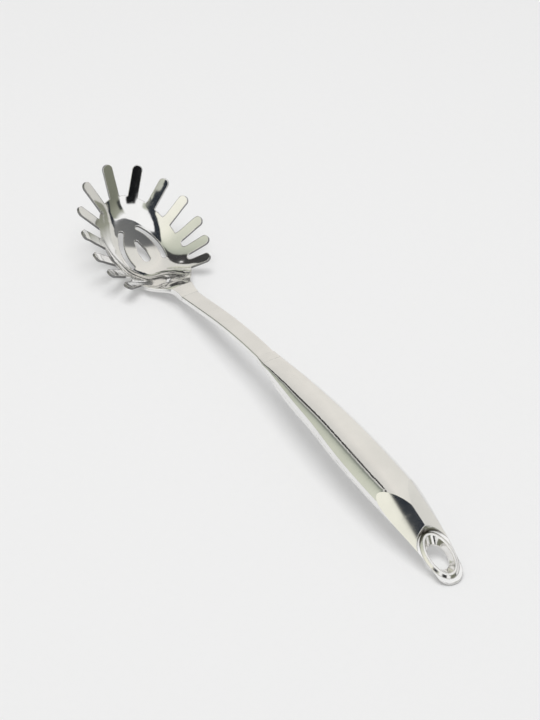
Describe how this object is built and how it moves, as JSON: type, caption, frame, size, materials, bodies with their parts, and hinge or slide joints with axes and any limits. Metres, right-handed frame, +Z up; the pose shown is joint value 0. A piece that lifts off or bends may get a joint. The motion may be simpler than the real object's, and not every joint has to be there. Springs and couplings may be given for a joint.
{
  "type": "pasta server",
  "caption": "Metal pasta server: an oval, upturned pan with tines round its rim and drain openings in its floor, on a flat bent neck and a hollow handle with a hanging hole.",
  "frame": {"origin": "on the table, under the middle of the tool's box, as it lies at rest on its bowl and its handle's tail", "axes": "+X from the handle's tail to the longest tine, +Y to the tool's left, +Z up"},
  "size_m": [0.3377, 0.068, 0.0415],
  "materials": {
    "polished_steel": "mirror polish with faint waviness and hairline wear",
    "ground_weld_steel": "weld ground flush and polished, slightly wavy",
    "plain_steel": "plain unpolished steel, hidden inside the handle"
  },
  "bodies": {
    "root": {"head": "polished_steel", "neck": "polished_steel", "heel_weld": "ground_weld_steel", "handle_upper_shell": "polished_steel", "handle_lower_shell": "polished_steel", "handle_seam_weld": "ground_weld_steel", "tang_plug": "plain_steel", "neck_collar_weld": "ground_weld_steel", "hanging_hole_sleeve": "polished_steel"}
  },
  "joints": []
}
